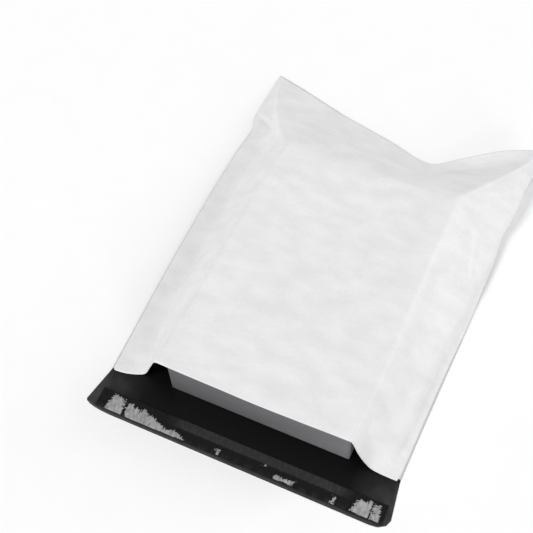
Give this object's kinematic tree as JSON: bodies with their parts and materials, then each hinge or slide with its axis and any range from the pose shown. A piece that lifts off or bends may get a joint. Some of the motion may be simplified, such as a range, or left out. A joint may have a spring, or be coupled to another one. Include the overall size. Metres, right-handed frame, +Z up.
{
  "type": "poly mailer bag",
  "caption": "Flat plastic film mailing bag lying on its back, mouth open, with a self-seal flap, a peel-off liner and a closed folding carton inside.",
  "frame": {"origin": "centre of the filled bag's footprint, on the ground that it lies on", "axes": "+Y from the mouth and flap towards the closed end, +X across the bag, +Z up out of the front panel"},
  "size_m": [0.254, 0.368, 0.0352],
  "materials": {
    "white_film": "satin co-extruded polyethylene film, white outside and black inside",
    "hot_melt_adhesive": "clear tacky hot-melt band on the black side of the film",
    "liner_film": "thin glossy peel-off liner, slightly puckered",
    "coated_card": "plain light grey coated folding boxboard"
  },
  "bodies": {
    "root": {"film_bag": "white_film", "adhesive_strip": "hot_melt_adhesive", "release_liner": "liner_film", "carton": "coated_card"}
  },
  "joints": []
}
